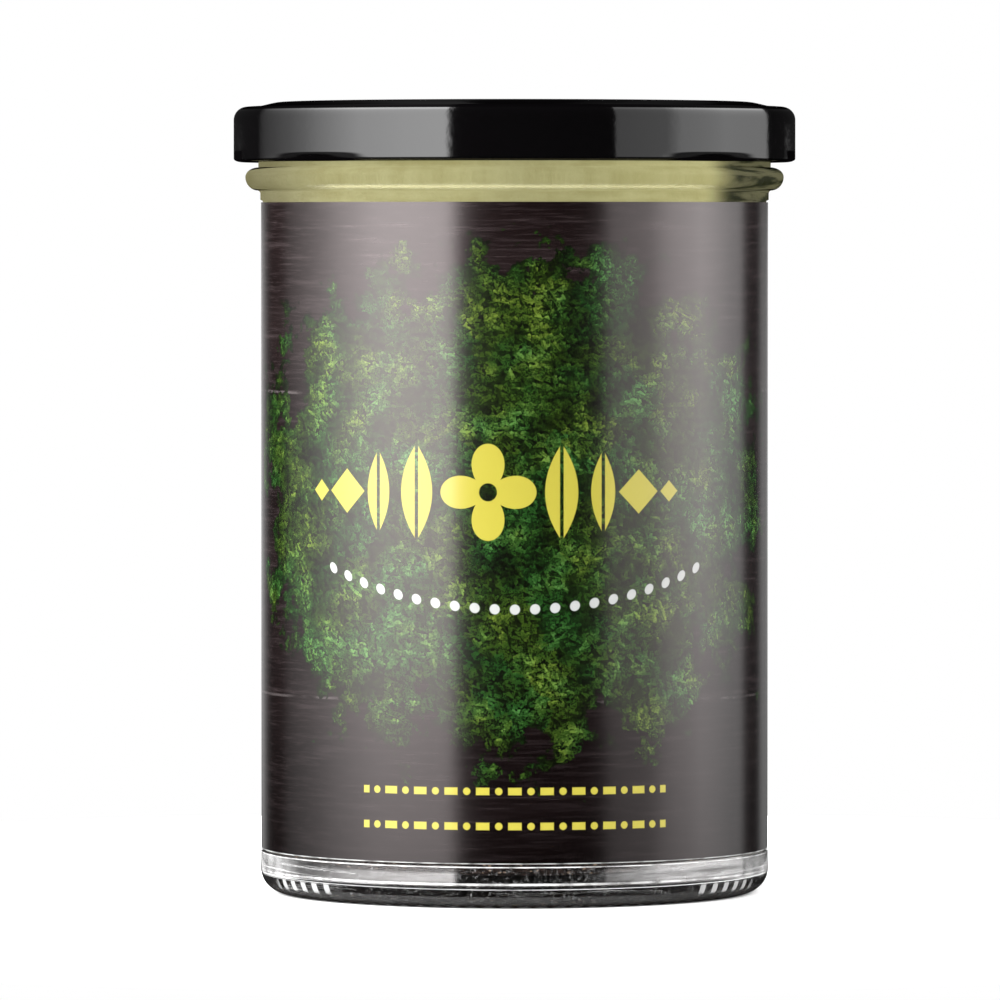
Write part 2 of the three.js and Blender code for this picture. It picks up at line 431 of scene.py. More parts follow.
floor_mesh = bpy.data.meshes.new("floor")
bm = bmesh.new()
bmesh.ops.create_circle(bm, cap_ends=True, radius=FLOOR["radius"] * MM, segments=128)
bmesh.ops.translate(bm, vec=(0, 0, -FLOOR["below"] * MM), verts=bm.verts)
bm.to_mesh(floor_mesh)
bm.free()
floor = bpy.data.objects.new("floor", floor_mesh)
card = Finish("pale_card", Roughness=0.9, Emission_Color=tint(1, 1, 1))
floor_x, floor_y, _ = card.place().parts()
outside_painted_shadow = floor_x.long(floor_y).ease(*FLOOR["shade"])
# Under the jar the card is painted dark, a painted shadow, and its glow stops there.
card.set("Base Color", outside_painted_shadow.blend(tint(0.05, 0.05, 0.05), tint(0.9, 0.9, 0.9)))
card.set("Emission Strength", outside_painted_shadow * FLOOR["glow"])
floor_mesh.materials.append(card.material)
floor.visible_glossy = False
bpy.context.collection.objects.link(floor)
print("floor:", FLOOR["radius"] * 2, "mm across")

# %% [markdown]
# ## The glass: section
#
# The jar is pressed and blown in a two-part mould. It stands on a flat ring, its underside is pushed up a little,
# the wall has a shallow panel for the label, and a round bead stands out under the lid. The points go up the
# outside and down the inside. Heel and neck have close points, because knurls and thread are raised there next.

# %% Section of the jar
PUSH_UP = {"high": 2.0, "curve": 2.6}
FOOT_IN_R = 29.0
HEEL = {"r": 35.0, "across": 3.67, "up": 3.6}
PANEL = {"low": 6.55, "high": 105.25, "step": 0.2}
BEAD = {"r": 40.95, "z": 108.9, "up": 1.45, "down": 2.05}
NECK_LOW = 111.2
RIM_ROUND = 0.85
FLOOR_IN = 4.4
FLOOR_CROWN = 0.4  # how much higher the inside floor is in the middle
CORNER = 3.4


def jar_section():
    rings = (0, 5, 10, 15, 19, 22, 25, 27, 28.2)
    underside = [(r, PUSH_UP["high"] * (1 - (r / FOOT_IN_R) ** PUSH_UP["curve"])) for r in rings]
    foot = [(r, 0) for r in (FOOT_IN_R, 30.5, 32.2, 33.2, 34.1)]
    heel = arc(HEEL["r"], HEEL["up"], HEEL["across"], HEEL["up"], -90, 0, 20)
    wall = [
        (BODY_R, PANEL["low"] - PANEL["step"]),
        (PANEL_R, PANEL["low"]),
        *line((PANEL_R, 22), (PANEL_R, 90), 4),
        (PANEL_R, PANEL["high"]),
        (BODY_R, PANEL["high"] + PANEL["step"]),
        (BODY_R, BEAD["z"] - BEAD["down"] - 0.4),  # a small fillet leads out to the bead
        (BODY_R + 0.1, BEAD["z"] - BEAD["down"] - 0.15),
    ]
    under_bead = arc(FINISH_R, BEAD["z"], BEAD["r"] - FINISH_R, BEAD["down"], -90, -8, 10)
    bead = arc(FINISH_R, BEAD["z"], BEAD["r"] - FINISH_R, BEAD["up"], 0, 90, 10)
    neck = line((FINISH_R, NECK_LOW), (FINISH_R, RIM - RIM_ROUND), 24)
    rim = arc(FINISH_R - RIM_ROUND, RIM - RIM_ROUND, RIM_ROUND, RIM_ROUND, 15, 90, 5)
    mouth = arc(BORE_R + 0.2 + RIM_ROUND, RIM - RIM_ROUND, RIM_ROUND, RIM_ROUND, 90, 180, 6)
    bore = line((BORE_R, RIM - 4), (BORE_R, FLOOR_IN + CORNER + 1), 18)
    corner = arc(BORE_R - CORNER, FLOOR_IN + CORNER, CORNER, CORNER, 0, -90, 9)
    rings = (29, 25, 20, 15, 10, 5, 0)
    floor_in = [(r, FLOOR_IN + FLOOR_CROWN * (1 - (r / (BORE_R - CORNER)) ** 2)) for r in rings]
    return underside + foot + heel + wall + under_bead + bead + neck + rim + mouth + bore + corner + floor_in


print("jar section:", len(jar_section()), "points")

# %% [markdown]
# ## The glass: thread, knurls and seams
#
# Four short ridges stand out of the neck, and each one climbs round it, so that the lid's four lugs draw it down
# when it turns. They could be swept solids joined to the neck, but a seam would show through clear glass. Here they
# are raised from the neck itself by a formula. The same is done for the small ribs under the heel that keep the
# hot glass off the belt, for the two mould seams, and for the slight waves that pressed glass has inside.

# %% Thread, knurls and seams
STARTS = 4
LEAD = 12.7
LUG_AT = 45
RIDGE = {"stand": 2.0, "height": 1.6, "low": 113.45, "before": 10, "after": 56, "fade": 8}
KNURLS = {"count": 84, "deep": 0.2, "from_r": 31.0, "top": 0.95}
SEAM = {"stand": 0.05, "half": 0.4, "low": 3, "below_rim": 8}
WAVES = {"bore": 0.06, "floor": 0.12, "size": 9.0, "around": 40.0}
JAR_SIDES = 6 * KNURLS["count"]


def ridge(direction, z):
    """How far the thread stands out at a place on the neck."""
    stand = 0.0
    for start in range(STARTS):
        turn = (direction - LUG_AT - start * 360 / STARTS + RIDGE["before"]) % 360 - RIDGE["before"]
        h = z - RIDGE["low"] - LEAD * turn / 360
        ends = smooth(min(turn + RIDGE["before"], RIDGE["after"] - turn), 0, RIDGE["fade"])
        across = smooth(h, 0, 0.6) * (1 - smooth(h, RIDGE["height"] - 0.6, RIDGE["height"]))
        stand = max(stand, RIDGE["stand"] * ends * across)
    return stand


def knurl(direction, r, z):
    """How deep the groove between two knurls is at a place on the heel."""
    groove = 0.5 - 0.5 * math.cos(math.radians(KNURLS["count"] * direction))
    within = smooth(r, KNURLS["from_r"], 33.5) * (1 - smooth(z, 0.35, KNURLS["top"]))
    return KNURLS["deep"] * groove * within


def shape_glass(bm):
    heel = Vector((HEEL["r"], 0, HEEL["up"]))
    for v in bm.verts:
        r, direction = polar(v)
        z = v.co.z
        seam = math.radians(min(abs(direction), 180 - abs(direction))) * r / SEAM["half"]
        if r > FINISH_R - 0.1 and 112 < z < RIM - RIM_ROUND - 0.01:
            set_radius(v, r + ridge(direction, z))
        elif r > KNURLS["from_r"] and z < KNURLS["top"]:
            deep = knurl(direction, r, z)
            inward = (heel - Vector((max(r, HEEL["r"]), 0, z))).normalized()
            set_radius(v, r + inward.x * deep)
            v.co.z += inward.z * deep
        elif abs(r - BORE_R) < 0.05 and z > FLOOR_IN:
            slow = Vector((v.co.x / WAVES["around"], v.co.y / WAVES["around"], z / WAVES["size"]))
            set_radius(v, r - WAVES["bore"] * (1 + noise.noise(slow)) / 2)
        elif FLOOR_IN - 0.1 < z < FLOOR_IN + CORNER and r < BORE_R:
            v.co.z += WAVES["floor"] * noise.noise(v.co / WAVES["size"])
        elif seam < 3 and SEAM["low"] < z < RIM - SEAM["below_rim"] and r > PANEL_R + 0.1:
            set_radius(v, r + SEAM["stand"] * math.exp(-seam * seam))


glass_mesh = turned(jar_section(), JAR_SIDES)
shape_glass(glass_mesh)
print("thread starts:", STARTS, "knurls:", KNURLS["count"])

# %% [markdown]
# ## The glass: milky marks and painted highlights
#
# Clear glass is a shader with full transmission. Where its surface is rough or scratched it looks milky, so a field
# says how far each point is from clear. The moulds' parts meet at two heights above the foot, and leave fine, uneven
# bright lines. The ring that the jar stands on is stippled, with a groove between each two knurls, and towards both
# edges of the jar the knurls get painted highlights, milky where they would catch the light. There is a slight haze
# at the edges over the heel, and small specks lie in the thick glass. Along the foot of the bead runs one long
# painted highlight, milky and tinted yellow. Each mark could be a light or a decal, but as a field it stays with
# the glass when the jar is seen from elsewhere.

# %% Milky marks and painted highlights in the glass
PARTINGS = ((3.72, 0.24, 0.6), (6.28, 0.12, 0.7))  # height, half width, how far from clear
STIPPLE = {"top": 1.9, "share": 0.035, "in_grooves": 0.85}
# The glint on the bead and the glints on the knurls are painted highlights.
PAINTED_GLINT = {"z": 107.3, "half": 0.65, "share": 0.3, "ends": (26, 33)}
PAINTED_KNURL_GLINT = {"z": (1.1, 1.8, 2.7, 3.2), "x": (26.0, 28.5, 35.0, 36.4), "from_r": (30.5, 31.5), "share": 0.4}
EDGE_HAZE = {"z": (2.9, 3.4, 6.2, 6.5), "x": (31.0, 36.5), "share": 0.35}
SPECKS = {"z": (0.3, 1.2, 6.2, 6.6), "share": 0.12}

glass = Finish("clear_glass", Roughness=0.0, IOR=1.52)
glass_place = glass.place()
glass_x, glass_y, glass_z = glass_place.parts()
glass_round = glass_x.long(glass_y)
outside = glass_round.ease(BODY_R - 0.35, BODY_R - 0.25)
side_on = abs(glass_x)
knurl_wave = (glass_y.angle(glass_x) * KNURLS["count"]).cosine()
uneven = (glass_x * 0.4).vector(glass_y * 0.4, glass_z * 0.2).noise(1.0, detail=3.0).ease(0.32, 0.62)

grooves = knurl_wave.ease(-0.2, 0.6) * (1 - glass_z.ease(0.4, 0.7))
stipple = 1 - glass_z.ease(STIPPLE["top"] - 0.15, STIPPLE["top"])
milky = stipple * (1 - STIPPLE["in_grooves"] * grooves) * STIPPLE["share"]
for height, half, share in PARTINGS:
    parting = (1 - abs(glass_z - height).ease(half * 0.4, half)) * outside * share
    milky = milky.most(parting * (0.35 + 0.65 * uneven))

# Painted highlight: a long milky line along the foot of the bead.
painted_glint = (1 - abs(glass_z - PAINTED_GLINT["z"]).ease(0.0, PAINTED_GLINT["half"])) * (1 - side_on.ease(*PAINTED_GLINT["ends"])) * outside
milky = milky.most(painted_glint * PAINTED_GLINT["share"])
# Painted highlights: the knurls turn milky towards both edges of the jar, where they would catch the light.
painted_knurl_glint = knurl_wave.ease(-0.1, 0.5) * glass_z.window(*PAINTED_KNURL_GLINT["z"]) * side_on.window(*PAINTED_KNURL_GLINT["x"])
milky = milky.most(painted_knurl_glint * glass_round.ease(*PAINTED_KNURL_GLINT["from_r"]) * PAINTED_KNURL_GLINT["share"])
haze = glass_z.window(*EDGE_HAZE["z"]) * side_on.ease(*EDGE_HAZE["x"]) * (0.5 + 0.5 * uneven)
milky = milky.most(haze * outside * EDGE_HAZE["share"])
specks = glass_place.noise(1.9, detail=3.0, roughness=0.8).ease(0.53, 0.68)
milky = milky.most(specks * glass_z.window(*SPECKS["z"]) * SPECKS["share"])
print("marks at the partings:", len(PARTINGS), "knurls:", KNURLS["count"])

# %% [markdown]
# ## The glass: gloss up the jar
#
# Clear glass mirrors about a twenty-fifth of what stands before it. The thick band between heel and label mirrors
# more, in level streaks, as its outer and inner faces add up, so it gets a coat there, and to the right it is a
# little milky too. The band's upper edge climbs a little to the right. Over the heel and beside the label the glass
# mirrors less. One line through (height, share) points holds the gloss, and another one the thick band.

# %% Gloss up the jar
MIRRORED = [  # height, and the share of the gloss
    (0, 0.08), (3.4, 0.08), (3.9, 1.0), (5.2, 1.0), (5.7, 0.3), (104, 0.3), (105.4, 0.05), (120, 0.05),
]
THICK_BAND = [(0, 0.0), (3.7, 0.0), (4.1, 0.85), (5.2, 0.8), (5.7, 0.15), (10.0, 0.0), (120, 0.0)]
BAND_CLIMB = [(-38, 0.0), (8, 0.0), (28, 1.3), (38, 1.3)]  # place from left to right, and the rise there

up_the_band = glass_z - glass_x.along(BAND_CLIMB) * glass_z.ease(4.2, 5.2)
mirrored = up_the_band.along(MIRRORED)
thick = up_the_band.along(THICK_BAND)
streaks = (glass_x * 0.25).vector(glass_y * 0.25, glass_z * 2.4)
streaks = streaks.noise(1.0, detail=4.0, roughness=0.65).ease(0.36, 0.62)
milky = milky.most(thick * glass_x.ease(10, 26) * outside * (0.12 + 0.24 * streaks))
# The painted highlight on the bead is tinted yellow as well.
glass.set("Base Color", painted_glint.blend(tint(0.99, 0.985, 0.98), tint(1.0, 0.96, 0.6)))
glass.set("Transmission Weight", 1 - milky)
glass.set("Specular Tint", mirrored.vector(mirrored * 0.94, mirrored * 0.93))
glass.set("Coat Weight", thick * (0.6 + 0.4 * streaks))
glass.set("Coat Roughness", 0.1)
glass.set("Coat IOR", 1.6)
glass.relief(glass_place.noise(0.12), 0.01)
print("thick band from", THICK_BAND[1][0], "to", THICK_BAND[-2][0])

# %% [markdown]
# ## The glass: what passes through
#
# Traced as real glass, the jar would also cast heavy shadows on what it holds, and light that comes through it would
# take thousands of samples to find. So the rays that only carry light to the contents pass straight through, and
# the rays that the eye follows bend as they do in real glass. Round the wet contents of the neck the photograph shows
# hardly any gloss, so from there up the glass only bends light, all but the painted highlight on the bead.

# %% What passes through the glass
WET_FROM = (104.4, 105.2)

passing = glass.nodes.new("ShaderNodeBsdfTransparent")
passing.inputs[0].default_value = tint(1.0, 1.0, 1.0)
wet = glass.nodes.new("ShaderNodeBsdfRefraction")
wet.inputs["Roughness"].default_value = 0.0
wet.inputs["IOR"].default_value = glass.surface.inputs["IOR"].default_value
glass_rays = glass.nodes.new("ShaderNodeLightPath")
carries_light = Field(glass_rays.outputs["Is Shadow Ray"]).most(Field(glass_rays.outputs["Is Diffuse Ray"]))
wet_glass = (glass_z.ease(*WET_FROM) * (1 - painted_glint)).mix(glass.surface, wet)
seen_glass = carries_light.mix(wet_glass, passing)
feed(glass.nodes["Material Output"].inputs[0], Field(seen_glass.outputs[0]))

piece(glass_mesh, "glass_jar", [glass], "jar", "jar", crease=60)

# %% [markdown]
# ## The label: sheet
#
# The label is one strip of varnished paper, a little longer than the way round the jar, so that its end laps over
# its start at the back. A tube would have no lap, so the piece is made as the real one is: a flat sheet with its
# print map, bent round the panel, and given its thickness after that. Foot and top are trimmed by a hair's width or
# two, so that the cut edges stay clear of the panel's steps.

# %% Label sheet
STRIP = {"gap": 0.05, "thick": 0.2, "lap": 12, "climb": 6, "columns": 372, "rows": 10}
STRIP_TURN = 360 + STRIP["lap"]
LABEL_R = PANEL_R + STRIP["gap"] + STRIP["thick"]
TRIM = {"foot": 0.05, "top": 0.15}
LABEL_FOOT = LABEL_LOW + TRIM["foot"]
LABEL_TALL = LABEL_HIGH - TRIM["top"] - LABEL_FOOT
STRIP_LONG = math.radians(STRIP_TURN) * LABEL_R


def label_sheet():
    bm = bmesh.new()
    bm.loops.layers.uv.new("print_map")
    bmesh.ops.create_grid(bm, x_segments=STRIP["columns"], y_segments=STRIP["rows"], size=0.5, calc_uvs=True)
    for v in bm.verts:
        turn = v.co.x * STRIP_TURN
        climb = smooth(turn, STRIP_TURN / 2 - STRIP["lap"] - STRIP["climb"], STRIP_TURN / 2 - STRIP["lap"])
        r = LABEL_R + climb * (STRIP["thick"] + STRIP["gap"])
        z = LABEL_FOOT + (v.co.y + 0.5) * LABEL_TALL
        v.co = Vector((r * math.sin(math.radians(turn)), -r * math.cos(math.radians(turn)), z))
    bm.normal_update()
    bmesh.ops.solidify(bm, geom=list(bm.faces), thickness=STRIP["thick"])
    return bm


label_mesh = label_sheet()
for face in label_mesh.faces:
    outward = face.calc_center_median().normalized().dot(face.normal)
    face.material_index = 0 if face.normal.z < 0.5 and outward > 0.2 else 1
radii = [polar(v)[0] for v in label_mesh.verts]
print(f"strip {STRIP_LONG:.1f} mm long, radius {min(radii):.2f} to {max(radii):.2f}")

# %% [markdown]
# ## The label: where the print is
#
# The print map runs from 0 to 1 along the strip and up it. Two fields turn it into millimetres: how far a point is
# from the middle of the front, and how high it is above the foot. Everything printed is drawn in these two.

# %% Print map
varnish = Finish("varnished_print", Roughness=0.21, IOR=1.68)
print_map = varnish.nodes.new("ShaderNodeUVMap")
print_map.uv_map = "print_map"
map_u, map_v, _ = Field(print_map.outputs[0]).parts()
across = (map_u - 0.5) * STRIP_LONG
above = map_v * LABEL_TALL + LABEL_FOOT
print("print map:", print_map.uv_map)

# %% [markdown]
# ## The label: dark boards
#
# The ground of the print is a picture of dark stained boards. Grain is noise stretched along the board: long waves
# for the tone of each board, fine ones for its streaks, and a thin broken light line where two boards meet. The
# picture gets darker towards its foot.

# %% Dark boards
BOARD_JOINTS = (76.5, 30.8)
BOARD_LIGHT = [(6.7, 0.3), (30, 0.55), (60, 0.85), (100, 1.0)]  # height above the foot, and the share of light


def boards():
    tone = (across / 60).vector(above / 9, 3.0).noise(1.0, detail=3.0)
    streak = (across / 14).vector(above * 1.1, 7.0).noise(1.0, detail=4.0, roughness=0.6)
    thread = (across / 5).vector(above * 3.2, 11.0).noise(1.0, detail=3.0, roughness=0.6)
    dark = tone.ease(0.3, 0.75).blend(tint(0.0052, 0.0024, 0.0024), tint(0.0105, 0.006, 0.006))
    worn = (streak.ease(0.48, 0.74) * 0.6 + thread.ease(0.5, 0.75) * 0.5).blend(dark, tint(0.04, 0.029, 0.03))
    broken = (across / 6).vector(above / 3).noise(1.0, detail=3.0).ease(0.38, 0.62)
    for joint in BOARD_JOINTS:
        waver = (across / 25).vector(0.0, joint).noise(1.0) * 0.8
        edge = 1 - abs(above - joint + waver - 0.4).ease(0.05, 0.3)
        worn = (edge * broken * 0.8).blend(worn, tint(0.1, 0.085, 0.085))
    return worn.scaled(above.along(BOARD_LIGHT))


ground = boards()
print("board joints at", BOARD_JOINTS)

# %% [markdown]
# ## The label: a bunch of herb leaves
#
# Over the boards lies a dense bunch of curly herb heads, drawn as layers of small toothed leaves that point away
# from the middle. A cell pattern scatters one leaf to a cell. In the cell, the leaf's outline is a radius that
# depends on direction: three lobes, fine teeth, narrow at the stalk. Each layer first darkens what lies under it
# near its leaves, as a shadow does, and then paints them, the lowest layer darkest. A second, larger cell pattern
# gives the heads, a little brighter on top. Round heads alone look like balls of moss, so wide noise also draws
# dark hollows across them, shifts the green between warm and cool, and frays the outline of the whole bunch.

# %% Herb leaves
BUNCH = {"middle": 60.2, "half_wide": 53.0, "half_high": 39.0, "frayed": 1.3}
HEAD = {"cell": 9.0, "far": 0.72}
LEAF = {"cell": 1.7, "long": 1.6, "stray": 5.0}
LAYERS = 8

place_on_print = across.vector(above, 0.0)
bend = place_on_print.noise(0.3, detail=2.0) * 5
_, head_far, head_chance = ((across + bend) / HEAD["cell"]).vector((above + bend) / HEAD["cell"]).cells()
head_tone, head_hue, _ = head_chance.parts()
dome = 1 - (head_far / HEAD["far"]).maths("POWER", 2.0).least(1.0)
curl = (place_on_print.noise(2.9, detail=4.0, roughness=0.6) - 0.5) * 1.9
grain = (place_on_print.noise(5.5, detail=2.0, roughness=0.7) - 0.5) * 0.9
cool = (place_on_print.noise(0.13, detail=3.0, roughness=0.6) * 0.8 + head_hue * 0.2).ease(0.35, 0.65)
SHADE = tint(0.0014, 0.0022, 0.0005)
MID_GREEN = cool.blend(tint(0.017, 0.037, 0.0035), tint(0.008, 0.037, 0.0055))
LIGHT_GREEN = cool.blend(tint(0.13, 0.19, 0.025), tint(0.065, 0.19, 0.045))
hollows = place_on_print.noise(0.17, detail=3.0, roughness=0.6).ease(0.36, 0.6)
ragged = place_on_print.noise(0.11, detail=5.0, roughness=0.62)


def herb_layer(under, layer):
    shift = 17.3 * layer + 5.1
    cell = LEAF["cell"] * (1.12 - 0.04 * layer)
    spot, _, chance = (across / cell + shift).vector(above / cell + shift).cells()
    spot_x, spot_y, _ = spot.parts()
    size_chance, tone_chance, lean_chance = chance.parts()
    leaf_x = (spot_x - shift) * cell
    leaf_y = (spot_y - shift) * cell
    out_y = leaf_y - BUNCH["middle"]
    lean = out_y.angle(leaf_x) + (lean_chance - 0.5) * LEAF["stray"]
    cosine, sine = lean.cosine(), lean.sine()
    dx, dy = across - leaf_x, above - leaf_y
    size = LEAF["long"] * (size_chance * 0.6 + 0.65)
    ahead = dx * cosine + dy * sine + size * 0.3
    beside = dy * cosine - dx * sine
    radius, turn = ahead.long(beside), beside.angle(ahead)
    lobes = (turn * 4.8).cosine() * 0.3 + 0.68
    teeth = abs((turn * 9 + tone_chance * 6).sine()) * 0.22 + curl * 0.3
    stalk = turn.cosine() * 0.42 + 0.58
    inside_by = (lobes + teeth) * stalk * size - radius

    reach = (out_y / BUNCH["half_high"]).long(leaf_x / BUNCH["half_wide"])
    kept = (reach + (ragged - 0.5) * BUNCH["frayed"] + head_far * 0.12).below(1.0 - 0.012 * layer)
    leaf = inside_by.ease(-0.04, 0.06) * kept
    shadow = inside_by.ease(-0.7, 0.1) * kept
    fold = beside.maths("SIGN") * (cosine * 0.8 - sine * 0.5) * 0.22
    depth = 0.2 + 0.8 * (layer + 1) / LAYERS
    tone = (tone_chance * 0.45 + fold + curl * 0.8 + grain + (radius / size) * 0.3 + 0.12) * depth
    tone = tone * (0.5 + 0.55 * dome) * (0.85 + 0.3 * head_tone) * (0.42 + 0.8 * hollows)
    green = tone.ease(0.0, 0.42).blend(SHADE, MID_GREEN)
    lit = tone.ease(0.35, 1.3).blend(green, LIGHT_GREEN)
    shaded = (shadow * 0.6).blend(under, tint(0.001, 0.0013, 0.0006))
    return leaf.blend(shaded, lit)


picture = ground
for layer in range(LAYERS):
    picture = herb_layer(picture, layer)
print("leaf layers:", LAYERS, "shader nodes:", len(varnish.nodes))

# %% [markdown]
# ## The label: ornament
#
# Over the picture is a row of plain yellow ornament, a white dotted arc under it, and two short rows of dashes and
# dots near the foot. Each shape is a distance: where it is below nought, there is ink. Last, the cut foot of the
# strip shows a broken white line of bare paper.

# %% Ornament
YELLOW = tint(0.38, 0.335, 0.046)
WHITE = tint(0.4, 0.41, 0.4)
ROW = {"x": -4.0, "y": 62.0}
ARC = {"x": 0.0, "low": 44.6, "half": 31.5, "sag": 6.4, "pitch": 3.0, "dot": 0.75}
DASHES = {"heights": (17.6, 12.4), "half": 24.0, "pitch": 4.8, "long": 1.0, "thick": 0.55}
INK_EDGE = 0.08


def ink(shape):
    """Ink where a shape's distance is below nought, with a soft edge as wide as the print is sharp."""
    return 1 - shape.ease(-INK_EDGE, INK_EDGE)


def ornament_row():
    """A four-petal flower between tall tapered bars, diamonds and dots, the same to both sides."""
    x = abs(across - ROW["x"])
    y = above - ROW["y"]
    flower_r = x.long(y)
    petals = abs((y.angle(x) * 2).cosine()) * 4.6 + 2.6
    flower = (flower_r - petals).most(1.35 - flower_r)
    shape = flower
    for at, half_wide, half_high in ((11.0, 2.5, 7.2), (17.4, 1.9, 6.2)):
        taper = (y / half_high).maths("POWER", 2.0)
        bar = abs(x - at) - half_wide * (1 - taper)
        slit = 0.28 - abs(x - at)
        shape = shape.least(bar.most(slit))
    for at, half in ((23.2, 3.3), (28.6, 1.6)):
        shape = shape.least((abs(x - at) + abs(y) - half) * 0.7)
    return shape


def dotted_arc():
    """Dots along a hanging arc, spaced evenly."""
    x = across - ARC["x"]
    hang = ARC["low"] + (x / ARC["half"]).maths("POWER", 2.0) * ARC["sag"]
    step = (x / ARC["pitch"]).maths("PINGPONG", 0.5) * ARC["pitch"]
    dot = step.long(above - hang) - ARC["dot"]
    return dot.most(abs(x) - ARC["half"])


def dash_rows():
    """Rows of dashes with a dot between each two."""
    step = (across / DASHES["pitch"]).maths("PINGPONG", 0.5) * DASHES["pitch"]
    shape = None
    for at in DASHES["heights"]:
        y = above - at
        dash = (step - DASHES["long"]).most(abs(y) - DASHES["thick"])
        dot = (DASHES["pitch"] / 2 - step).long(y) - DASHES["thick"]
        both = dash.least(dot)
        shape = both if shape is None else shape.least(both)
    return shape.most(abs(across) - DASHES["half"])


picture = ink(ornament_row()).blend(picture, YELLOW)
picture = ink(dotted_arc()).blend(picture, WHITE)
picture = ink(dash_rows()).blend(picture, YELLOW)
broken_line = (across / 4).vector(0.0, 5.0).noise(1.0, detail=3.0).ease(0.3, 0.6)
bare_paper = (1 - (above - LABEL_FOOT).ease(0.1, 0.2)) * broken_line
picture = bare_paper.blend(picture, WHITE)
varnish.set("Base Color", picture)
print("rows of dashes:", len(DASHES["heights"]), "with all print", len(varnish.nodes), "shader nodes")

# %% [markdown]
# ## The label: varnish
#
# A varnished print shows two things at once, its ink and what its gloss mirrors. In the photograph the gloss is
# weaker near the foot, and it changes a little round the strip. Faint waves in the varnish soften the edges of the
# light panels. A gloss drawn into the colour would turn with the jar, so the light is left to the shader, and only
# the strength of the gloss is drawn.

# %% Varnish
GLOSS_UP = [(6.7, 0.19), (28, 0.28), (50, 0.38), (71, 0.46), (100, 0.52)]  # height above the foot, and strength
GLOSS_ROUND = [  # place from left to right, and share
    (-48, 0.8), (-35, 0.92), (-27, 0.86), (-20, 0.83), (-13, 0.74), (0, 0.8), (12, 1.0), (24, 1.03),
    (31, 1.2), (35, 1.0), (39, 0.72), (48, 0.7),
]
varnish.set("Specular IOR Level", above.along(GLOSS_UP) * across.along(GLOSS_ROUND))
varnish.set("Specular Tint", tint(1.0, 0.9, 0.9))
varnish.relief((across / 3).vector(above / 3).noise(1.0, detail=3.0), 0.01)

piece(label_mesh, "label_strip", [varnish, paper], "jar", "label", crease=40)

# %% [markdown]
# ## The lid: section
#
# A twist-off lid is pressed from a disc of tinplate. Its middle stands up a little, the shoulder holds the sealing
# compound, the side comes straight down, and the raw edge is rolled inwards into a hem. The section goes out over
# the top, down, round the flat roll of the hem and back under the sheet, one sheet thickness below. The side has
# close points near its foot, because dents are pressed in there next.

# %% Section of the lid
SHEET = 0.42
SHOULDER = {"z": 119.57, "corner": 2.0}
STEP = {"out": 39.9, "in": 35.4}
HEM = {"across": 1.35, "up": 0.55, "inner": 41.3, "top": 113.9}


def step_up(r):
    """Height of the sheet between the shoulder and the raised middle."""
    return SHOULDER["z"] + (LID_TOP - SHOULDER["z"]) * smooth(STEP["out"] - r, 0, STEP["out"] - STEP["in"])


def lid_section():
    corner_r = LID_R - SHOULDER["corner"]
    corner_z = SHOULDER["z"] - SHOULDER["corner"]
    rise = [STEP["in"] + (STEP["out"] - STEP["in"]) * i / 10 for i in range(11)]
    top = [(r, LID_TOP) for r in (0, 6, 12, 18, 24, 30, 34)] + [(r, step_up(r)) for r in rise]
    corner = arc(corner_r, corner_z, SHOULDER["corner"], SHOULDER["corner"], 90, 0, 10)
    side = line((LID_R, 116.8), (LID_R, HEM["top"]), 4)
    side += line((LID_R, HEM["top"] - 0.4), (LID_R, LID_FOOT + HEM["up"] + 0.1), 12)
    roll = arc(LID_R - HEM["across"], LID_FOOT + HEM["up"], HEM["across"], HEM["up"], 0, -90, 12)
    nose = [(HEM["inner"], LID_FOOT + up_) for up_ in (0.15, 0.35, 0.7, 1.1, 1.45, 1.65)]
    back = [(HEM["inner"] + 0.2, LID_FOOT + 1.95), (LID_R - SHEET - 0.1, HEM["top"] - 0.2)]
    wall = line((LID_R - SHEET, HEM["top"] + 0.2), (LID_R - SHEET, 117), 4)
    hollow = SHOULDER["corner"] - SHEET
    under_corner = arc(corner_r, corner_z, hollow, hollow, 0, 90, 6)
    under = [(r, step_up(r) - SHEET) for r in reversed(rise)] + [(r, LID_TOP - SHEET) for r in (30, 20, 10, 0)]
    return top + corner + side + roll + nose + back + wall + under_corner + under


print("lid section:", len(lid_section()), "points")

# %% [markdown]
# ## The lid: lugs
#
# At four places the roll is pressed inwards into a lug, which leaves a shallow dent in the outside. Each one is made
# by pushing the points near it: the inside of the roll goes in as far as the lug reaches, and the outside follows
# by the depth of the dent, most at the very foot. What faces inwards is lined with the pale inner lacquer.

# %% Lugs and dents
LUG = {"reach": 39.6, "half": 8.4, "tip": 6.0, "top": 113.1}
DENT = {"deep": 1.0, "half": 16.5, "top": LID_FOOT + 1.4}
LID_SIDES = 480

lid_mesh = turned(lid_section(), LID_SIDES)
for v in lid_mesh.verts:
    r, direction = polar(v)
    away = abs((direction - LUG_AT + 45) % 90 - 45)
    if v.co.z < LUG["top"] and r > HEM["inner"] - 0.05:
        lug = (HEM["inner"] - LUG["reach"]) * (1 - smooth(away, LUG["tip"], LUG["half"]))
        hollow = (1 - smooth(away, 0, DENT["half"])) * (1 - smooth(v.co.z, LID_FOOT + 0.1, DENT["top"]))
        outwards = smooth(r, HEM["inner"], LID_R - 0.1)
        set_radius(v, r - lug * (1 - outwards) - DENT["deep"] * hollow * outwards)

for face in lid_mesh.faces:
    middle = face.calc_center_median()
    outward = face.normal.dot(Vector((middle.x, middle.y, 0)).normalized()) if middle.xy.length > 1 else 0
    lined = face.normal.z < -0.3 or outward < -0.2
    face.material_index = 1 if lined and middle.z > HEM["top"] - 0.4 else 0
print("lugs:", STARTS, "reach in to", LUG["reach"])

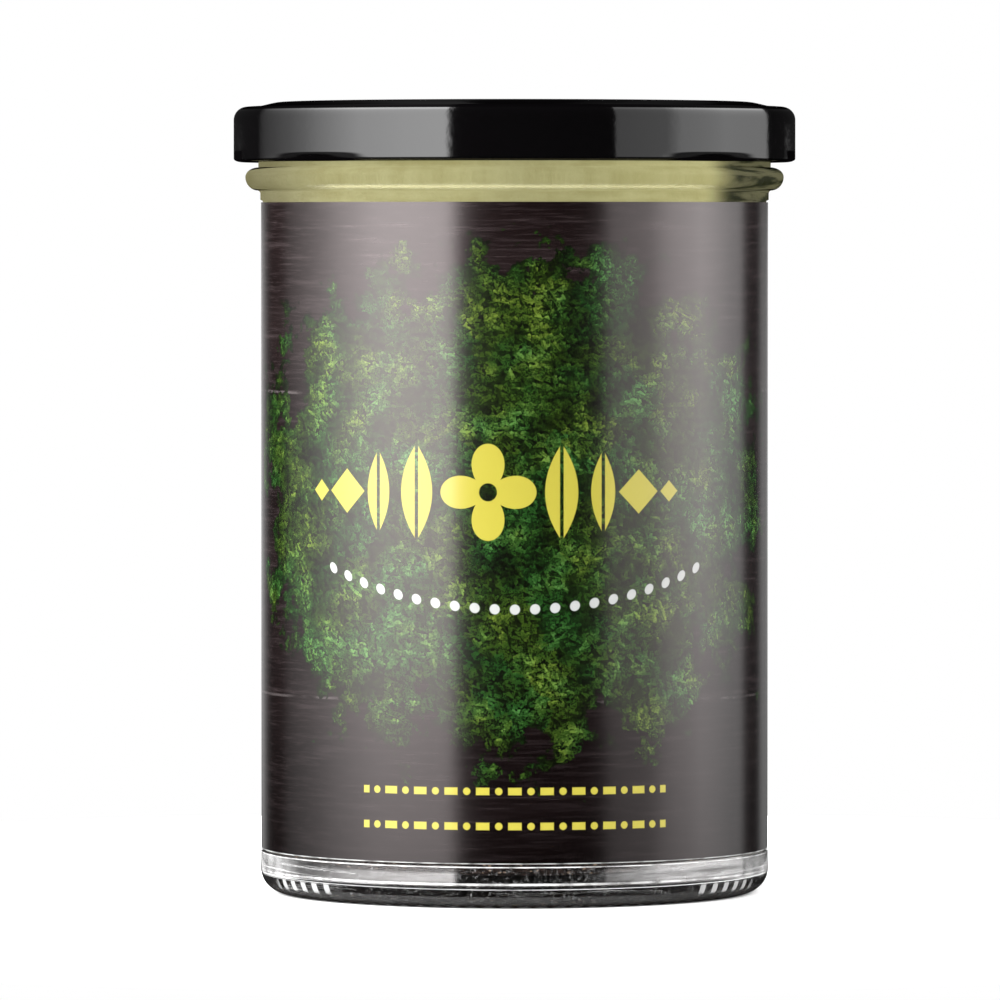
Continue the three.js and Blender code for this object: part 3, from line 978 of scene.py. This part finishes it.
# %% [markdown]
# ## The lid: lacquer
#
# The outside is black baked lacquer. Its colour is next to nothing, and all that the eye sees is its gloss. Lacquer
# on sheet metal is never quite flat, so a faint orange peel breaks the edges of what it mirrors. Low on the side,
# where the sheet turns in to hem and dents and at the lid's two ends, it would mirror the bright neck and backdrop.
# In the photograph it stays black there, so the gloss is held back. The raised middle is satin, so that a light
# panel mirrored in it from above stays soft.

# %% Black lacquer
lacquer = Finish("black_lacquer", Base_Color=tint(0.0015, 0.0013, 0.0015), IOR=1.47)
peel = lacquer.place()
lid_x, lid_y, lid_z = peel.parts()
near_foot = 1 - lid_z.ease(LID_FOOT + 1.6, LID_FOOT + 2.6)
lid_round = lid_x.long(lid_y)
turned_in = (LID_R - lid_round).ease(0.25, 0.55)
side_ends = abs(lid_x).ease(39.5, 41.3)
top_middle = 1 - lid_round.ease(34, 39)
held_back = (near_foot * turned_in.most(side_ends)).most(top_middle * 0.85)
lacquer.set("Specular IOR Level", 0.5 * (1 - held_back))
lacquer.set("Roughness", 0.06 + 0.24 * top_middle)
lacquer.relief(peel.noise(0.9, detail=2.0) * 0.7 + peel.noise(0.15) * 0.3, 0.012)

piece(lid_mesh, "twist_lid", [lacquer, inside], "lid", "lid", crease=35)

# %% [markdown]
# ## The seal
#
# Sealing compound is poured as a ring under the shoulder of the lid and baked there. The rim of the glass presses
# into it. It is a soft flat ring with rounded edges.

# %% Seal ring
SEAL_IN, SEAL_OUT = 37.1, span("seal_ring")[1].x
SEAL_LOW, SEAL_HIGH = span("seal_ring")[0].z, span("seal_ring")[1].z
SEAL_ROUND = 0.3


def seal_section():
    low = SEAL_LOW + SEAL_ROUND
    inner = arc(SEAL_IN + SEAL_ROUND, low, SEAL_ROUND, SEAL_ROUND, 180, 270, 4)
    outer = arc(SEAL_OUT - SEAL_ROUND, low, SEAL_ROUND, SEAL_ROUND, 270, 360, 4)
    return [(SEAL_IN, SEAL_HIGH), *inner, *outer, (SEAL_OUT, SEAL_HIGH), (SEAL_IN, SEAL_HIGH)]


piece(turned(seal_section(), 240), "seal", [sealant], "seal", "seal_ring")

# %% [markdown]
# ## Growing medium
#
# Through the foot of the jar, dark crumbly matter shows against the glass. It fills the jar, so it is a turned
# plug, and its skin is pushed in by noise: coarse crumbs and fine grit. Down by the foot it is wet and lies flat
# against the glass, with no air between them, so there its grains and pale flecks are drawn as colour.

# %% Growing medium
WETTED = 0.05
PRESSED_R = BORE_R + WETTED  # damp contents cling to the glass, so they show right to the jar's edges
CRUMBS = {"coarse": 0.55, "coarse_size": 3.2, "fine": 0.22, "fine_size": 1.1}
MEDIUM_MIDDLE = Vector((FILL_R, 50, 54))  # radius, half height and height of the middle
MEDIUM_SIDES = 300
WET_TO = 10.0


def crumble(skin, depths, middle):
    """Pushes points of a plug's skin in, from its side or its ends, by two sizes of noise."""
    for v in skin:
        coarse = 0.5 + 0.5 * noise.noise(v.co / depths["coarse_size"])
        fine = 0.5 + 0.5 * noise.noise(v.co / depths["fine_size"] + Vector((7, 7, 7)))
        push = depths["coarse"] * max(0, coarse - 0.5) + depths["fine"] * max(0, fine - 0.45)
        r = math.hypot(v.co.x, v.co.y)
        if abs(v.co.z - middle.z) / middle.y < r / middle.x:
            set_radius(v, r - push)
        else:
            v.co.z += push if v.co.z < middle.z else -push


def medium_section():
    bottom = FLOOR_IN - WETTED
    corner_r = BORE_R - CORNER
    round_ = CORNER + WETTED
    floor_rings = [(r, bottom + FLOOR_CROWN * (1 - (r / corner_r) ** 2)) for r in range(0, 33, 2)]
    corner = arc(corner_r, bottom + round_, round_, round_, -90, 0, 10)
    wall = line((PRESSED_R, bottom + round_ + 0.8), (PRESSED_R, bottom + 9), 8)
    upper = line((PRESSED_R, bottom + 20), (PRESSED_R, MEDIUM_HIGH - 0.5), 8)
    top = [(FILL_R - 0.5, MEDIUM_HIGH)] + [(r, MEDIUM_HIGH) for r in (30, 24, 18, 12, 6, 0)]
    return floor_rings + corner + wall + upper + top


medium_mesh = turned(medium_section(), MEDIUM_SIDES)
crumble([v for v in medium_mesh.verts if v.co.z > WET_TO], CRUMBS, MEDIUM_MIDDLE)
peat = Finish("dark_growing_medium", Roughness=0.85, Specular_IOR_Level=0.1)
peat_place = peat.place()
peat_tone = peat_place.noise(0.9, detail=4.0, roughness=0.65)
peat_colour = peat_tone.ease(0.4, 0.68).blend(tint(0.003, 0.0016, 0.0013), tint(0.03, 0.018, 0.014))
_, fleck_far, fleck_chance = peat_place.scaled(1.3).cells(flat=False)
fleck_draw, fleck_size, _ = fleck_chance.parts()
fleck = (1 - (fleck_far / (fleck_size * 0.3 + 0.12)).ease(0.8, 1.1)) * fleck_draw.below(0.35)
peat.set("Base Color", fleck.blend(peat_colour, tint(0.17, 0.12, 0.085)))
peat.relief(peat_place.noise(2.2, detail=4.0, roughness=0.7), 0.5)
piece(medium_mesh, "crumbly_medium", [peat], "jar", "growing_medium", crease=80)

# %% [markdown]
# ## Seed mat
#
# The pressed mat and its seeds lie hidden between the medium and the mulch. Their solid already has the right
# shape, so it stays, and only gets a better finish: fibres for the mat, and darker brown where a seed stands out.

# %% Seed mat
felt = Finish("seed_mat_felt", Roughness=0.9)
felt_place = felt.place()
felt_x, felt_y, felt_z = felt_place.parts()
felt_fibre = (felt_x * 1.5).vector(felt_y * 0.3, felt_z).noise(1.2, detail=4.0)
felt_colour = felt_fibre.blend(tint(0.22, 0.16, 0.09), tint(0.42, 0.33, 0.2))
seed_high = felt_z.ease(span("seed_mat")[0].z + 0.6, span("seed_mat")[0].z + 0.7)
felt.set("Base Color", seed_high.blend(felt_colour, tint(0.08, 0.05, 0.025)))
felt.relief(felt_fibre, 0.15)
seed_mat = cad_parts["seed_mat"]
for place in seed_mat.material_slots:
    place.material = felt.material
print("seed mat finish:", [place.material.name for place in seed_mat.material_slots])

# %% [markdown]
# ## Mulch
#
# The neck shows a pale yellow-green mulch pressed flat against the glass, so it is a turned layer with a smooth
# side, and its soft level streaks are in its colour. Only its top, which shows when the lid is off, is crumbly,
# with fibres strewn over it. Each one is a thin bar of six faces, placed by a seeded draw, because hundreds of them
# are needed. Light soaks through pale mulch from all sides, which would take subsurface scattering and many
# samples, so a glow of its own stands for it, a little stronger to the right. At the right edge of the jar a
# painted shade darkens it, in dark olive mottles, and at the left edge lies a lighter painted shade.

# %% Mulch
MULCH_TOP = 114.2
MULCH_SKIN = {"coarse": 0.3, "coarse_size": 2.4, "fine": 0.14, "fine_size": 0.9}
MULCH_SIDES = 360
MULCH_MIDDLE = Vector((FILL_R, 3.9, (MULCH_LOW + MULCH_TOP) / 2))  # as the medium's
FIBRES = {"count": 420, "long": (1.5, 4.5), "wide": (0.12, 0.24), "high": 0.15, "reach": 33.0}
STRAW_GLOW = [  # place from left to right, and strength
    (-32, 0.31), (-24, 0.31), (-16, 0.335), (-8, 0.34), (0, 0.29), (10, 0.315), (18, 0.375), (28, 0.42),
    (40, 0.42),
]


def mulch_section():
    bottom = [(r, MULCH_LOW) for r in (0, 8, 16, 24, 31, 34)]
    side = line((PRESSED_R, MULCH_LOW), (PRESSED_R, MULCH_TOP - 0.8), 16)
    rings = (34, 32.5, 31, 29, 27, 24, 21, 18, 15, 12, 9, 6, 3, 0)
    return bottom + side + [(FILL_R - 0.6, MULCH_TOP - 0.3)] + [(r, MULCH_TOP) for r in rings]


def lay_fibres(bm):
    draw = random.Random(41)
    for _ in range(FIBRES["count"]):
        long, wide = draw.uniform(*FIBRES["long"]), draw.uniform(*FIBRES["wide"])
        size = Matrix.Diagonal((long, wide, FIBRES["high"], 1))
        lying = Matrix.Rotation(draw.uniform(0, math.tau), 4, "Z")
        away = Matrix.Translation((FIBRES["reach"] * math.sqrt(draw.random()), 0, MULCH_TOP - 0.1))
        around = Matrix.Rotation(draw.uniform(0, math.tau), 4, "Z")
        bmesh.ops.create_cube(bm, size=1, matrix=around @ away @ lying @ size)


mulch_mesh = turned(mulch_section(), MULCH_SIDES)
top_skin = [v for v in mulch_mesh.verts if v.co.z > MULCH_TOP - 0.5]
crumble(top_skin, MULCH_SKIN, MULCH_MIDDLE)
lay_fibres(mulch_mesh)

straw = Finish("pale_mulch", Roughness=0.8)
straw_place = straw.place()
straw_x, straw_y, straw_z = straw_place.parts()
straw_flow = (straw_x * 0.1).vector(straw_y * 0.1, straw_z * 0.9)
straw_tone = straw_flow.noise(1.0, detail=4.0) * 0.6 + straw_place.noise(0.35, detail=5.0, roughness=0.6) * 0.4
straw_colour = straw_tone.ease(0.3, 0.7).blend(tint(0.78, 0.72, 0.28), tint(1.0, 0.95, 0.44))
# Painted shade towards the left edge of the jar.
shaded_left = ((-1 * straw_x).ease(24, 38) * 0.75).blend(straw_colour, tint(0.3, 0.27, 0.13))
# Painted shade at the right edge of the jar, drawn as dark olive mottles.
painted_right_shade = straw_flow.noise(1.3, detail=4.0).ease(0.4, 0.6).blend(tint(0.22, 0.21, 0.1), tint(0.03, 0.035, 0.008))
straw_colour = straw_x.ease(27.3, 31.8).blend(shaded_left, painted_right_shade)
straw.set("Base Color", straw_colour.scaled(0.1))
straw.set("Emission Color", straw_colour)
straw.set("Emission Strength", straw_x.along(STRAW_GLOW))
straw.relief(straw_place.noise(1.6, detail=4.0), 0.2)
piece(mulch_mesh, "loose_mulch", [straw], "jar", "mulch", crease=80)

# %% [markdown]
